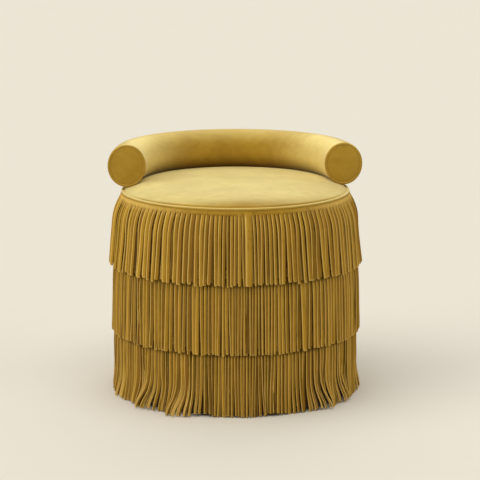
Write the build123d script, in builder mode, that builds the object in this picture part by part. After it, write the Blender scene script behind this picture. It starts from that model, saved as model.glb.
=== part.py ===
from build123d import *
import math
import os

# A round pouf: a padded drum under three tiers of cut leather fringe, a crowned seat with a piped
# edge, and a half-ring bolster back that is bolted through the seat to the deck.
# Millimetres, +Z up, origin on the drum's axis at the floor, front towards -Y.

os.makedirs("parts", exist_ok=True)

# Clearances and skins
fit_gap = 0.3
thread_gap = 0.1
leather = 1.6
piping_radius = 3

# Drum frame
floor_clearance = 10
drum_height = 374
board_radius = 246
board_thickness = 18
access_radius = 90
post_count = 6
post_width = 45
post_depth = 28
post_setback = 24
hoop_thickness = 15
notch_depth = 10

# Drum skins
wall_thickness = 4
padding_thickness = 6
hem_width = 30
tuck_width = 10
dust_cover_thickness = 0.8
dust_cover_overlap = 12

# Floor glides
glide_radius = 16
glide_chamfer = 1
glide_inset = 28
glide_bore_radius = 5
glide_bore_depth = 3.5

# Screws
wood_screw_radius = 2.5
wood_screw_head = 5
wood_screw_length = 50
end_screw_radius = 2
end_screw_head = 4
end_screw_length = 25
glide_screw_radius = 2
glide_screw_head = 4.5
glide_screw_length = 20
pan_head_height = 2.5

# Seat
seat_setback = 3.1
border_height = 48.4
crown_height = 19
crown_flat_drop = 3.5
crown_edge_rise = 1.5
roll_width = 53
wadding_thickness = 6

# Bolster back
bolster_half_width = 41.1
bolster_straight = 4.9
bolster_inset = 8.7
core_width = 34
core_height = 30
core_shift = 5
end_board_thickness = 4
end_screw_spacing = 18

# Bolster bolts
bolt_count = 3
bolt_inset = 8
bolt_radius = 4
bolt_head_radius = 7.5
bolt_head_height = 5.3
washer_radius = 11
washer_thickness = 2
spacer_radius = 8
insert_radius = 6
insert_length = 20
bolt_tip_room = 3

# Fringe: a drape is a list of (outwards from the side cover, share of the strip's length)
header_thickness = 2
strip_thickness = 1.4
strip_root = 1
strip_gap = 2
hem_cover = 13
hem_steps = (0, 3, 1.5)
upper_header_height = 10.5
upper_header_lean = 5
upper_drape = ((1.4, 0.18), (7.8, 0.46))
upper_flare = 15.8
upper_length = 141
upper_strip_count = 147
front_strip_slots = 2
front_angle = -90
lower_header_height = 18
middle_drape = ((6.5, 0.14),)
middle_flare = 11.3
middle_length = 160
middle_strip_count = 162
lower_drape = ((5, 0.16), (5, 0.68))
lower_flare = 8.5
lower_hem_height = 4
lower_strip_count = 168

# Heights of the drum
base_bottom = floor_clearance
base_top = base_bottom + board_thickness
deck_top = base_bottom + drum_height
deck_bottom = deck_top - board_thickness
post_height = deck_bottom - base_top

# Radii from the frame outwards
post_outer = board_radius - post_setback
post_centre = post_outer - post_depth / 2
hoop_inner = post_outer - notch_depth
glide_ring = post_centre - glide_inset
wall_inner = board_radius + fit_gap
wall_outer = wall_inner + wall_thickness
padding_inner = wall_outer + fit_gap
padding_outer = padding_inner + padding_thickness
cover_inner = padding_outer + fit_gap
cover_radius = cover_inner + leather
shoulder_z = deck_top - padding_thickness - fit_gap
hem_bottom = base_bottom - leather
hem_inner = cover_radius - hem_width
tuck_inner = board_radius - tuck_width
dust_bottom = hem_bottom - dust_cover_thickness
dust_radius = hem_inner + dust_cover_overlap

# Seat radii and heights
seat_bottom = deck_top + leather
seat_radius = board_radius - seat_setback
border_inner = seat_radius - leather
foam_radius = border_inner - fit_gap
piping_ring = seat_radius + fit_gap
piping_z = seat_bottom + border_height
crown_top = piping_z + crown_height
roll_start = seat_radius - roll_width

# The crown is a wide arc over the middle and a tighter arc rolling off to the piping
wide_radius = (roll_start**2 + crown_flat_drop**2) / (2 * crown_flat_drop)
roll_angle = math.asin(roll_start / wide_radius)
roll_drop = crown_height - crown_flat_drop - crown_edge_rise
roll_radius = (roll_width**2 + roll_drop**2) / (
    2 * (roll_drop * math.cos(roll_angle) - roll_width * math.sin(roll_angle))
)
roll_centre_r = roll_start - roll_radius * math.sin(roll_angle)
roll_centre_z = crown_top - crown_flat_drop - roll_radius * math.cos(roll_angle)

# The bolster's round underside rests on the roll of the seat
bolster_ring = seat_radius - bolster_inset
bolster_half_height = bolster_half_width + bolster_straight
bolster_reach = roll_radius + bolster_half_width + fit_gap
underside_z = roll_centre_z + math.sqrt(bolster_reach**2 - (bolster_ring - roll_centre_r) ** 2)
bolster_z = underside_z + bolster_straight
core_ring = bolster_ring - core_shift
core_bottom = bolster_z - core_height / 2
bolt_ring = bolster_ring - bolt_inset
spacer_length = core_bottom - deck_top
bolt_hole = bolt_radius + fit_gap

# Fringe heights
upper_header_top = piping_z - piping_radius - fit_gap
upper_header_bottom = upper_header_top - upper_header_height
upper_hem = upper_header_bottom - upper_length
middle_header_bottom = upper_hem + hem_cover
middle_hem = middle_header_bottom - middle_length
lower_header_bottom = middle_hem + hem_cover
lower_length = lower_header_bottom - lower_hem_height
header_ring = cover_radius + fit_gap + header_thickness / 2


def save(builder, label):
    # Labels a finished piece and writes it to its own file.
    builder.part.label = label
    export_step(builder.part, f"parts/{label}.step")


def ring_section(inner, outer, bottom, top):
    # Rectangle in the radius and height plane, from inner to outer radius.
    with Locations(((inner + outer) / 2, (bottom + top) / 2)):
        Rectangle(outer - inner, top - bottom)


def post_places(ring):
    # One place at each post's angle, on a ring of the given radius.
    return PolarLocations(ring, post_count)


def bolt_places():
    # The bolts' places along the back half of the ring, midway between posts.
    pitch = 360 / post_count
    return PolarLocations(bolt_ring, bolt_count, pitch / 2, pitch * bolt_count)


def crown_height_at(radius):
    # Height of the seat's top at a radius on the roll.
    return roll_centre_z + math.sqrt(roll_radius**2 - (radius - roll_centre_r) ** 2)


def crown_lines(drop, edge):
    # The crown from the axis to the edge radius, lowered by drop.
    start = (0, crown_top - drop)
    middle = (roll_start, crown_top - crown_flat_drop - drop)
    wide = TangentArc(start, middle, tangent=(1, 0))
    return TangentArc(middle, (edge, crown_height_at(edge) - drop), tangent=wide % 1)


def crown_layer(drop, thickness, edge):
    # Section of a skin of even height that follows the crown, lowered by drop.
    with BuildSketch(Plane.XZ) as layer:
        with BuildLine():
            upper = crown_lines(drop, edge)
            lower = crown_lines(drop + thickness, edge)
            Line(upper @ 1, lower @ 1)
            Line((0, crown_top - drop), (0, crown_top - drop - thickness))
        make_face()
    return layer.sketch


def cut_piping_groove():
    # The groove that the seat's piping lies in.
    with Locations((0, 0, piping_z)):
        Torus(piping_ring, piping_radius + fit_gap, mode=Mode.SUBTRACT)


def make_screw(shank, head, length, countersunk=True, gap=0, points=-1):
    # A screw with the top of its head at the origin, pointing down, or up where points is 1.
    # With a gap it is the hole that the same screw needs.
    profile = [(0, 0), (head + gap, 0)]
    if countersunk:
        profile.append((shank + gap, points * (head - shank)))
    else:
        profile.append((head + gap, points * pan_head_height))
        profile.append((shank + gap, points * pan_head_height))
    tip = points * (length + gap)
    with BuildPart() as screw:
        with BuildSketch(Plane.XZ):
            with BuildLine():
                Polyline(*profile, (shank + gap, tip), (0, tip), close=True)
            make_face()
        revolve(axis=Axis.Z)
    return screw.part


def wood_screw(gap=0, points=-1):
    # Countersunk screw through a board into a post.
    return make_screw(wood_screw_radius, wood_screw_head, wood_screw_length, gap=gap, points=points)


def end_screw(gap=0):
    # Countersunk screw through an end board into the bolster core.
    return make_screw(end_screw_radius, end_screw_head, end_screw_length, gap=gap)


def glide_screw(gap=0):
    # Pan-head screw up through a glide into the base board.
    return make_screw(glide_screw_radius, glide_screw_head, glide_screw_length, False, gap, 1)


def band_outline(path, thickness):
    # Closed outline of a band hung along a path of (radius, height) points.
    outer = [(radius + thickness / 2, height) for radius, height in path]
    inner = [(radius - thickness / 2, height) for radius, height in reversed(path)]
    return outer + inner


def make_strip(path, width):
    # One flat cut strip in the plane of +X, hung along a path.
    with BuildPart() as strip:
        with BuildSketch(Plane.XZ):
            with BuildLine():
                Polyline(*band_outline(path, strip_thickness), close=True)
            make_face()
        extrude(amount=width / 2, both=True)
    return strip.part


def strip_width(ring, slots, spanned=1):
    # Width of a strip over the spanned slots of a ring, less the gap to its neighbour.
    return spanned * 2 * math.pi * ring / slots - strip_gap


def strip_copies(path, count, slots, first):
    # Strips of a few lengths in turn, round a ring divided into equal slots.
    width = strip_width(path[0][0], slots)
    hem_radius, hem_height = path[-1]
    copies = []
    for index, step in enumerate(hem_steps):
        strip = make_strip([*path[:-1], (hem_radius, hem_height + step)], width)
        for slot in range(index, count, len(hem_steps)):
            copies.append(strip.rotate(Axis.Z, first + slot * 360 / slots))
    return copies


def fringe_path(header_top, header_bottom, drape, flare, length):
    # Path of a strip, from just inside the header's lower edge down to the hem.
    top_radius, top_height = header_top
    bottom_radius, bottom_height = header_bottom
    root = strip_root / (top_height - bottom_height)
    path = [(bottom_radius + root * (top_radius - bottom_radius), bottom_height + strip_root)]
    path.append(header_bottom)
    for outwards, share in (*drape, (flare, 1)):
        path.append((cover_radius + outwards, bottom_height - share * length))
    return path


def make_fringe(label, header_top, header_bottom, strips):
    # A header band round the drum with its strips fused to its lower edge.
    with BuildPart() as fringe:
        with BuildSketch(Plane.XZ):
            with BuildLine():
                Polyline(*band_outline([header_top, header_bottom], header_thickness), close=True)
            make_face()
        revolve(axis=Axis.Z)
        add(strips)
    save(fringe, label)


def hoop_sketch(inner):
    # Flat ring from an inner radius out to the edge of the boards.
    Circle(board_radius)
    Circle(inner, mode=Mode.SUBTRACT)


def bolster_slot(side, inset):
    # The bolster's oval section in the front plane, drawn in by inset, on side 1 or -1.
    with Locations((side * bolster_ring, bolster_z)):
        SlotOverall(2 * (bolster_half_height - inset), 2 * (bolster_half_width - inset), rotation=90)


def end_screw_places(side):
    # Two screw places in one end of the bolster core.
    near = side * (core_ring - end_screw_spacing / 2)
    far = side * (core_ring + end_screw_spacing / 2)
    return Locations((near, bolster_z), (far, bolster_z))


# Holes from the deck up to the bolster core, cut in all that the bolt spacers pass through
with BuildPart() as spacer_holes:
    with BuildSketch(Plane.XY.offset(deck_top)):
        with bolt_places():
            Circle(spacer_radius + fit_gap)
    extrude(amount=spacer_length)

# Base board, with an access hole to the bolster bolts
base_screw_hole = wood_screw(thread_gap, 1)
glide_screw_hole = glide_screw(thread_gap)
glide_screw_z = glide_bore_depth - pan_head_height
with BuildPart() as base_board:
    with BuildSketch(Plane.XY.offset(base_bottom)):
        Circle(board_radius)
        Circle(access_radius, mode=Mode.SUBTRACT)
    extrude(amount=board_thickness)
    with Locations((0, 0, base_bottom)):
        with post_places(post_centre):
            add(base_screw_hole, mode=Mode.SUBTRACT)
    with Locations((0, 0, glide_screw_z)):
        with post_places(glide_ring):
            add(glide_screw_hole, mode=Mode.SUBTRACT)
save(base_board, "base_board")

# Deck board, drilled for the posts' screws and the bolster bolts
deck_screw_hole = wood_screw(thread_gap)
with BuildPart() as deck_board:
    with BuildSketch(Plane.XY.offset(deck_bottom)):
        Circle(board_radius)
        with bolt_places():
            Circle(bolt_hole, mode=Mode.SUBTRACT)
    extrude(amount=board_thickness)
    with Locations((0, 0, deck_top)):
        with post_places(post_centre):
            add(deck_screw_hole, mode=Mode.SUBTRACT)
save(deck_board, "deck_board")

# Hoops that back the headers of the lower two tiers, let into the posts
hoop_heights = {
    "hoop_upper": middle_header_bottom + (lower_header_height - hoop_thickness) / 2,
    "hoop_lower": lower_header_bottom + (lower_header_height - hoop_thickness) / 2,
}
for label, height in hoop_heights.items():
    with BuildPart() as hoop:
        with BuildSketch(Plane.XY.offset(height)):
            hoop_sketch(hoop_inner)
        extrude(amount=hoop_thickness)
    save(hoop, label)

# Posts between the boards, notched for the hoops
for number in range(post_count):
    angle = number * 360 / post_count
    with BuildPart() as post:
        with BuildSketch(Plane.XY.offset(base_top)):
            with PolarLocations(post_centre, 1, start_angle=angle):
                Rectangle(post_depth, post_width)
        extrude(amount=post_height)
        for height in hoop_heights.values():
            with BuildSketch(Plane.XY.offset(height)):
                hoop_sketch(hoop_inner - fit_gap)
            extrude(amount=hoop_thickness + fit_gap, mode=Mode.SUBTRACT)
        with Locations((0, 0, base_bottom)):
            with PolarLocations(post_centre, 1, start_angle=angle):
                add(base_screw_hole, mode=Mode.SUBTRACT)
        with Locations((0, 0, deck_top)):
            with PolarLocations(post_centre, 1, start_angle=angle):
                add(deck_screw_hole, mode=Mode.SUBTRACT)
    save(post, f"post_{number + 1}")

# Screws through the boards into the posts
with BuildPart() as base_screws:
    with Locations((0, 0, base_bottom)):
        with post_places(post_centre):
            add(wood_screw(points=1))
save(base_screws, "base_screws")

with BuildPart() as deck_screws:
    with Locations((0, 0, deck_top)):
        with post_places(post_centre):
            add(wood_screw())
save(deck_screws, "deck_screws")

# Bent ply wall round the boards and hoops
with BuildPart() as drum_wall:
    with BuildSketch(Plane.XZ):
        ring_section(wall_inner, wall_outer, base_bottom, deck_top)
    revolve(axis=Axis.Z)
save(drum_wall, "drum_wall")

# Padding with a round shoulder at the deck
with BuildPart() as side_padding:
    with BuildSketch(Plane.XZ):
        with BuildLine():
            Polyline(
                (padding_inner, shoulder_z + padding_thickness),
                (padding_inner, base_bottom),
                (padding_outer, base_bottom),
                (padding_outer, shoulder_z),
            )
            CenterArc((padding_inner, shoulder_z), padding_thickness, 0, 90)
        make_face()
    revolve(axis=Axis.Z)
save(side_padding, "side_padding")

# Side cover, turned in over the deck and under the base
with BuildPart() as side_cover:
    with BuildSketch(Plane.XZ):
        with BuildLine():
            Polyline(
                (padding_inner, deck_top),
                (tuck_inner, deck_top),
                (tuck_inner, seat_bottom),
                (padding_inner, seat_bottom),
            )
            CenterArc((padding_inner, shoulder_z), cover_radius - padding_inner, 0, 90)
            Polyline(
                (cover_radius, shoulder_z),
                (cover_radius, hem_bottom),
                (hem_inner, hem_bottom),
                (hem_inner, base_bottom),
                (cover_inner, base_bottom),
                (cover_inner, shoulder_z),
            )
            CenterArc((padding_inner, shoulder_z), cover_inner - padding_inner, 0, 90)
        make_face()
    revolve(axis=Axis.Z)
    add(spacer_holes.part, mode=Mode.SUBTRACT)
save(side_cover, "side_cover")

# Dust cover over the hem, pinned by the glides
with BuildPart() as dust_cover:
    with BuildSketch(Plane.XY.offset(dust_bottom)):
        Circle(dust_radius)
        with post_places(glide_ring):
            Circle(glide_screw_radius + thread_gap, mode=Mode.SUBTRACT)
    extrude(amount=dust_cover_thickness)
save(dust_cover, "dust_cover")

# Floor glides, each with a counterbore for its screw
for number in range(post_count):
    angle = number * 360 / post_count
    with BuildPart() as glide:
        with PolarLocations(glide_ring, 1, start_angle=angle):
            Cylinder(glide_radius, dust_bottom, align=(Align.CENTER, Align.CENTER, Align.MIN))
        chamfer(glide.faces().sort_by(Axis.Z)[0].edges(), glide_chamfer)
        with BuildSketch():
            with PolarLocations(glide_ring, 1, start_angle=angle):
                Circle(glide_bore_radius)
        extrude(amount=glide_bore_depth, mode=Mode.SUBTRACT)
        with Locations((0, 0, glide_screw_z)):
            with PolarLocations(glide_ring, 1, start_angle=angle):
                add(glide_screw_hole, mode=Mode.SUBTRACT)
    save(glide, f"glide_{number + 1}")

with BuildPart() as glide_screws:
    with Locations((0, 0, glide_screw_z)):
        with post_places(glide_ring):
            add(glide_screw())
save(glide_screws, "glide_screws")

# Seat: foam, wadding and top panel follow one crown
wadding_drop = leather + fit_gap
foam_drop = wadding_drop + wadding_thickness + fit_gap
with BuildPart() as seat_foam:
    with BuildSketch(Plane.XZ):
        with BuildLine():
            top = crown_lines(foam_drop, foam_radius)
            Polyline(
                top @ 1,
                (foam_radius, seat_bottom),
                (tuck_inner - fit_gap, seat_bottom),
                (tuck_inner - fit_gap, deck_top),
                (0, deck_top),
                (0, crown_top - foam_drop),
            )
        make_face()
    revolve(axis=Axis.Z)
    cut_piping_groove()
    add(spacer_holes.part, mode=Mode.SUBTRACT)
save(seat_foam, "seat_foam")

with BuildPart() as seat_wadding:
    revolve(crown_layer(wadding_drop, wadding_thickness, foam_radius), axis=Axis.Z)
    cut_piping_groove()
    add(spacer_holes.part, mode=Mode.SUBTRACT)
save(seat_wadding, "seat_wadding")

with BuildPart() as seat_top_panel:
    revolve(crown_layer(0, leather, seat_radius), axis=Axis.Z)
    cut_piping_groove()
    add(spacer_holes.part, mode=Mode.SUBTRACT)
save(seat_top_panel, "seat_top_panel")

with BuildPart() as seat_border:
    with BuildSketch(Plane.XZ):
        ring_section(border_inner, seat_radius, seat_bottom, piping_z)
    revolve(axis=Axis.Z)
    cut_piping_groove()
save(seat_border, "seat_border")

with BuildPart() as seat_piping:
    with Locations((0, 0, piping_z)):
        Torus(piping_ring, piping_radius)
save(seat_piping, "seat_piping")

# Three tiers of fringe; the upper one has a wide strip at the front where its ends are joined
upper_top = (seat_radius + fit_gap + header_thickness / 2, upper_header_top)
upper_bottom = (upper_top[0] + upper_header_lean, upper_header_bottom)
upper_path = fringe_path(upper_top, upper_bottom, upper_drape, upper_flare, upper_length)
upper_slots = upper_strip_count + front_strip_slots
upper_first = front_angle + (front_strip_slots + 1) / 2 * 360 / upper_slots
upper_strips = strip_copies(upper_path, upper_strip_count, upper_slots, upper_first)
front_width = strip_width(upper_path[0][0], upper_slots, front_strip_slots)
upper_strips.append(make_strip(upper_path, front_width).rotate(Axis.Z, front_angle))
make_fringe("fringe_upper", upper_top, upper_bottom, upper_strips)

middle_top = (header_ring, middle_header_bottom + lower_header_height)
middle_bottom = (header_ring, middle_header_bottom)
middle_path = fringe_path(middle_top, middle_bottom, middle_drape, middle_flare, middle_length)
middle_strips = strip_copies(middle_path, middle_strip_count, middle_strip_count, front_angle)
make_fringe("fringe_middle", middle_top, middle_bottom, middle_strips)

lower_top = (header_ring, lower_header_bottom + lower_header_height)
lower_bottom = (header_ring, lower_header_bottom)
lower_path = fringe_path(lower_top, lower_bottom, lower_drape, lower_flare, lower_length)
lower_strips = strip_copies(lower_path, lower_strip_count, lower_strip_count, front_angle)
make_fringe("fringe_lower", lower_top, lower_bottom, lower_strips)

# Bolster core: a bent ply half ring with threaded inserts below and screws in its ends
end_screw_hole = end_screw(thread_gap)
with BuildPart() as bolster_core:
    with BuildSketch(Plane.XZ):
        with Locations((core_ring, bolster_z)):
            Rectangle(core_width, core_height)
    revolve(axis=Axis.Z, revolution_arc=180)
    with BuildSketch(Plane.XY.offset(core_bottom)):
        with bolt_places():
            Circle(insert_radius + thread_gap)
    extrude(amount=insert_length + bolt_tip_room, mode=Mode.SUBTRACT)
    for side in (1, -1):
        with BuildSketch(Plane.XZ):
            with end_screw_places(side):
                Circle(end_screw_radius + thread_gap)
        extrude(amount=-end_screw_length, mode=Mode.SUBTRACT)
save(bolster_core, "bolster_core")

foam_inset = leather + fit_gap
with BuildPart() as bolster_foam:
    with BuildSketch(Plane.XZ):
        bolster_slot(1, foam_inset)
        with Locations((core_ring, bolster_z)):
            Rectangle(core_width + 2 * fit_gap, core_height + 2 * fit_gap, mode=Mode.SUBTRACT)
    revolve(axis=Axis.Z, revolution_arc=180)
    add(spacer_holes.part, mode=Mode.SUBTRACT)
save(bolster_foam, "bolster_foam")

with BuildPart() as bolster_cover:
    with BuildSketch(Plane.XZ):
        bolster_slot(1, 0)
        with Locations((bolster_ring, bolster_z)):
            SlotOverall(
                2 * (bolster_half_height - leather),
                2 * (bolster_half_width - leather),
                rotation=90,
                mode=Mode.SUBTRACT,
            )
    revolve(axis=Axis.Z, revolution_arc=180)
    add(spacer_holes.part, mode=Mode.SUBTRACT)
save(bolster_cover, "bolster_cover")

# Bolster ends: a board screwed to the core, a leather panel on it and piping round both
end_inset = 2 * piping_radius + fit_gap
piping_y = piping_radius + fit_gap
for side, hand in ((1, "right"), (-1, "left")):
    with BuildPart() as end_board:
        with BuildSketch(Plane.XZ):
            bolster_slot(side, end_inset)
        extrude(amount=end_board_thickness)
        with Locations(Plane.XZ.offset(end_board_thickness)):
            with end_screw_places(side):
                add(end_screw_hole, mode=Mode.SUBTRACT)
    save(end_board, f"bolster_end_board_{hand}")

    with BuildPart() as end_panel:
        with BuildSketch(Plane.XZ.offset(end_board_thickness)):
            bolster_slot(side, end_inset)
        extrude(amount=leather)
    save(end_panel, f"bolster_end_panel_{hand}")

    with BuildPart() as end_piping:
        with BuildSketch(Plane.XZ.offset(piping_y), mode=Mode.PRIVATE) as loop:
            bolster_slot(side, piping_radius)
        path = loop.sketch.faces()[0].outer_wire()
        with BuildSketch(Plane(path @ 0, z_dir=path % 0)):
            Circle(piping_radius)
        sweep(path=path)
    save(end_piping, f"bolster_piping_{hand}")

with BuildPart() as end_screws:
    with Locations(Plane.XZ.offset(end_board_thickness)):
        for side in (1, -1):
            with end_screw_places(side):
                add(end_screw())
save(end_screws, "bolster_end_screws")

# Bolts, washers, spacers and inserts that hold the bolster to the deck
with BuildPart() as bolster_inserts:
    with BuildSketch(Plane.XY.offset(core_bottom)):
        with bolt_places():
            Circle(insert_radius)
            Circle(bolt_radius + thread_gap, mode=Mode.SUBTRACT)
    extrude(amount=insert_length)
save(bolster_inserts, "bolster_inserts")

with BuildPart() as bolster_spacers:
    with BuildSketch(Plane.XY.offset(deck_top)):
        with bolt_places():
            Circle(spacer_radius)
            Circle(bolt_hole, mode=Mode.SUBTRACT)
    extrude(amount=spacer_length)
save(bolster_spacers, "bolster_spacers")

washer_bottom = deck_bottom - washer_thickness
with BuildPart() as bolster_washers:
    with BuildSketch(Plane.XY.offset(washer_bottom)):
        with bolt_places():
            Circle(washer_radius)
            Circle(bolt_hole, mode=Mode.SUBTRACT)
    extrude(amount=washer_thickness)
save(bolster_washers, "bolster_washers")

with BuildPart() as bolster_bolts:
    with BuildSketch(Plane.XY.offset(washer_bottom)):
        with bolt_places():
            RegularPolygon(bolt_head_radius, 6)
    extrude(amount=-bolt_head_height)
    with BuildSketch(Plane.XY.offset(washer_bottom)):
        with bolt_places():
            Circle(bolt_radius)
    extrude(amount=core_bottom + insert_length - washer_bottom)
save(bolster_bolts, "bolster_bolts")
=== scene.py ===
import bpy
import bmesh
import math
import numpy as np
from types import SimpleNamespace
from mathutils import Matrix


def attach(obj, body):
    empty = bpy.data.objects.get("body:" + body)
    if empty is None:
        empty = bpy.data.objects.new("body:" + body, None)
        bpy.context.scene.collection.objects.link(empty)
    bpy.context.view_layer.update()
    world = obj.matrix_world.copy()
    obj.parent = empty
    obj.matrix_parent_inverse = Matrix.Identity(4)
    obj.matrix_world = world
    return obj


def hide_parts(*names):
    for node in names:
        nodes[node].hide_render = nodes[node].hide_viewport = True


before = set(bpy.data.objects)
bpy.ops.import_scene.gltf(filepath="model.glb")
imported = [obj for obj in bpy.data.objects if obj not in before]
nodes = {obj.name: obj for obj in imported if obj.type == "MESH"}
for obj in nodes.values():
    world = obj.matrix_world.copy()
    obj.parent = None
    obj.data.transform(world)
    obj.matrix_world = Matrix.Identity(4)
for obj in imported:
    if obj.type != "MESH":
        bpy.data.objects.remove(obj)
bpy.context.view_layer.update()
scene = bpy.context.scene
mm = 0.001  # settings below are in millimetres, as on the drawing
print("frame loaded:", len(nodes), "nodes")


# Dictionary of settings, each read by its name
class settings(dict):
    __getattr__ = dict.__getitem__


# Linear colour of a swatch: each part over 255, with the display curve undone
def swatch(red, green, blue):
    part = np.array([red, green, blue]) / 255
    linear = np.where(part <= 0.04045, part / 12.92, ((part + 0.055) / 1.055) ** 2.4)
    return (*linear.tolist(), 1.0)


# Adds a node, sets its fields, then fills each input with a value or a link
def addNode(tree, kind, inputs=None, **fields):
    node = tree.nodes.new(f"ShaderNode{kind}")
    for field, value in fields.items():
        setattr(node, field, value)
    for key, value in (inputs or {}).items():
        if isinstance(value, bpy.types.NodeSocket):
            tree.links.new(value, node.inputs[key])
        else:
            node.inputs[key].default_value = value
    return node


# Result of one step of arithmetic on values or sockets
def calculate(tree, operation, *values):
    return addNode(tree, "Math", dict(enumerate(values)), operation=operation).outputs[0]


# Product of any number of values or sockets
def product(tree, first, *others):
    result = first
    for factor in others:
        result = calculate(tree, "MULTIPLY", result, factor)
    return result


# Sum of values, each times its share, added to an offset
def weighed(tree, *parts, offset=0.0):
    total = offset
    for value, share in parts:
        total = calculate(tree, "MULTIPLY_ADD", value, share, total)
    return total


# Share from 0 to 1, eased, as a value goes from one bound to the other
def between(tree, value, low, high):
    values = {"Value": value, "From Min": low, "From Max": high}
    return addNode(tree, "MapRange", values, interpolation_type="SMOOTHSTEP").outputs[0]


# Product of two directions, as a cosine
def cosine(tree, first, second):
    values = {0: first, 1: second}
    return addNode(tree, "VectorMath", values, operation="DOT_PRODUCT").outputs["Value"]


# Colour between two colours by a factor; each is a swatch or comes from another node
def blend(tree, factor, *colours):
    low, high = (swatch(*colour) if isinstance(colour, tuple) else colour for colour in colours)
    return addNode(tree, "Mix", {0: factor, 6: low, 7: high}, data_type="RGBA").outputs[2]


# Noise of a given size in cycles per metre, read at a point
def noise(tree, point, scale, detail=2.0, roughness=0.55):
    values = {"Vector": point, "Scale": scale, "Detail": detail, "Roughness": roughness}
    return addNode(tree, "TexNoise", values).outputs["Fac"]


# Points scaled by three factors
def stretched(tree, point, scale):
    return addNode(tree, "Mapping", {0: point, 3: scale}).outputs[0]


# Object coordinates scaled by three factors
def objectPoint(tree, scale=(1.0, 1.0, 1.0)):
    return stretched(tree, addNode(tree, "TexCoord").outputs["Object"], scale)


# Empty material with its shader; constants go straight onto the shader's sockets
def newMaterial(name, constants):
    material = bpy.data.materials.new(name)
    material.use_nodes = True
    tree = material.node_tree
    tree.nodes.clear()
    shader = addNode(tree, "BsdfPrincipled", constants)
    addNode(tree, "OutputMaterial", {"Surface": shader.outputs[0]})
    return material, tree, shader


# Joins a colour, a roughness from a value and a bump from a height to the shader
def dress(tree, shader, colour, roughFrom, height, s):
    share, least = s.rough
    rough = weighed(tree, (roughFrom, share), offset=least)
    strength, depth = s.bump
    values = {"Height": height, "Strength": strength, "Distance": depth * mm}
    bump = addNode(tree, "Bump", values).outputs[0]
    for title, socket in {"Base Color": colour, "Roughness": rough, "Normal": bump}.items():
        tree.links.new(socket, shader.inputs[title])


napSettings = settings(
    patches=(3, 0.5), stretch=(1, 2.6, 1.6), strokes=(55, 4, 0.6), fibres=(1300, 3, 0.7),
    clumps=(380, 2, 0.6), shades=(1.2, 0.8, 0.5), heights=(0.6, 0.4),
)


# Suede nap: patches, strokes and fibres added up round a half; its height is fibres and clumps
def makeNapGroup(s):
    tree = bpy.data.node_groups.new("suedeNap", "ShaderNodeTree")
    tree.interface.new_socket("Point", in_out="INPUT", socket_type="NodeSocketVector")
    for title, way in {"Patch": "INPUT", "Depth": "INPUT", "Shade": "OUTPUT", "Height": "OUTPUT"}.items():
        tree.interface.new_socket(title, in_out=way, socket_type="NodeSocketFloat")
    start = tree.nodes.new("NodeGroupInput")
    end = tree.nodes.new("NodeGroupOutput")
    point = start.outputs["Point"]
    patches = noise(tree, point, start.outputs["Patch"], *s.patches)
    strokes = noise(tree, stretched(tree, point, s.stretch), *s.strokes)
    fibres = noise(tree, point, *s.fibres)
    clumps = noise(tree, point, *s.clumps)
    spread = weighed(tree, *zip((patches, strokes, fibres), s.shades), offset=-sum(s.shades) / 2)
    shade = weighed(tree, (spread, start.outputs["Depth"]), offset=0.5)
    height = weighed(tree, *zip((fibres, clumps), s.heights))
    tree.links.new(shade, end.inputs["Shade"])
    tree.links.new(height, end.inputs["Height"])
    return tree


napGroup = makeNapGroup(napSettings)


# Shade and height of the nap at the object's own points
def addNap(tree, patch, depth):
    values = {"Point": objectPoint(tree), "Patch": patch, "Depth": depth}
    nap = addNode(tree, "Group", values, node_tree=napGroup)
    return nap.outputs["Shade"], nap.outputs["Height"]


suedeLook = settings(
    sheen={
        "Sheen Weight": 0.45, "Sheen Roughness": 0.42, "Sheen Tint": swatch(255, 244, 206), "IOR": 1.4,
        "Specular IOR Level": 0.1,
    },
    brushedShade=(0.5, 0.75), rough=(0.12, 0.78), bump=(0.35, 0.35),
)
# Painted sheen: each finish's pale colour is painted where the surface faces its direction, standing in
# for sheen and top light
seatFinish = settings(
    patch=11, depth=1, dark=(148, 113, 34), light=(190, 152, 56), brushed=(249, 236, 164),
    share=0.64, toward=(0, 0.35, 0.94), sides=0.42, begin=0.715, full=0.96,
    fades=settings(begin=0.02, full=0.26, share=0.18),
)
bolsterFinish = settings(
    patch=14, depth=0.9, dark=(154, 118, 37), light=(196, 158, 61), brushed=(251, 230, 150),
    share=0.44, toward=(0, 0, 1), begin=0.26, full=1.1,
    ends=settings(begin=0.19, full=0.08, inside=0.08, share=0.64),
    # Painted shade: dark colour on the bolster's underside where it meets the seat, fading near the ends
    crease=settings(begin=0.488, full=0.448, share=0.75, colour=(84, 58, 14), free=0.12),
)
endFinish = settings(
    patch=14, depth=0.7, dark=(156, 120, 38), light=(200, 162, 64), brushed=(240, 212, 128),
    share=0.45, toward=(0, 0, 1), begin=0.2, full=1.1,
)
# Piping: a lighter copy of the seat's suede, a painted highlight where the piping catches the light
pipingFinish = settings(
    patch=20, depth=0.4, dark=(172, 136, 48), light=(208, 171, 78), brushed=(249, 236, 164),
    share=0.6, toward=(0, 0.3, 1), sides=0.4, begin=0, full=1.1,
)
# Drum: a dark copy of the suede, painted shade for the drum seen behind the fringe
drumFinish = settings(
    patch=14, depth=0.7, dark=(66, 44, 12), light=(92, 64, 20), brushed=(92, 64, 20), share=0.5,
    toward=(0, 0, 1), begin=0, full=1,
)
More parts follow.
